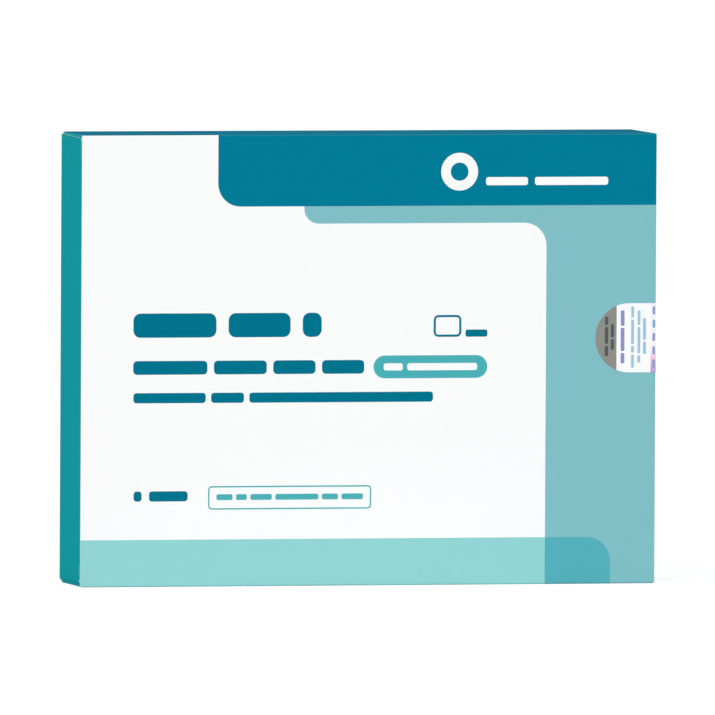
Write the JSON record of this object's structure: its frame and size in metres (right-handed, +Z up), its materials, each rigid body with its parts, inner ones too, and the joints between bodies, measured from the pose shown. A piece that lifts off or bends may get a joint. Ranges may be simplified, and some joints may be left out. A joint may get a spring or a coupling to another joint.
{
  "type": "test kit carton",
  "caption": "Flat folding carton of a home test kit, standing on its long edge, with tucked end closures and a film seal wrapped round one end.",
  "frame": {"origin": "middle of the carton's footprint, on the surface that it stands on", "axes": "+X along the front panel towards the sealed end, +Y from the front panel to the back panel, +Z up"},
  "size_m": [0.1801, 0.0301, 0.138],
  "materials": {
    "printed_board": "matte",
    "seal_film": "gloss"
  },
  "bodies": {
    "root": {"carton": "printed_board", "tamper_seal": "seal_film"}
  },
  "joints": []
}
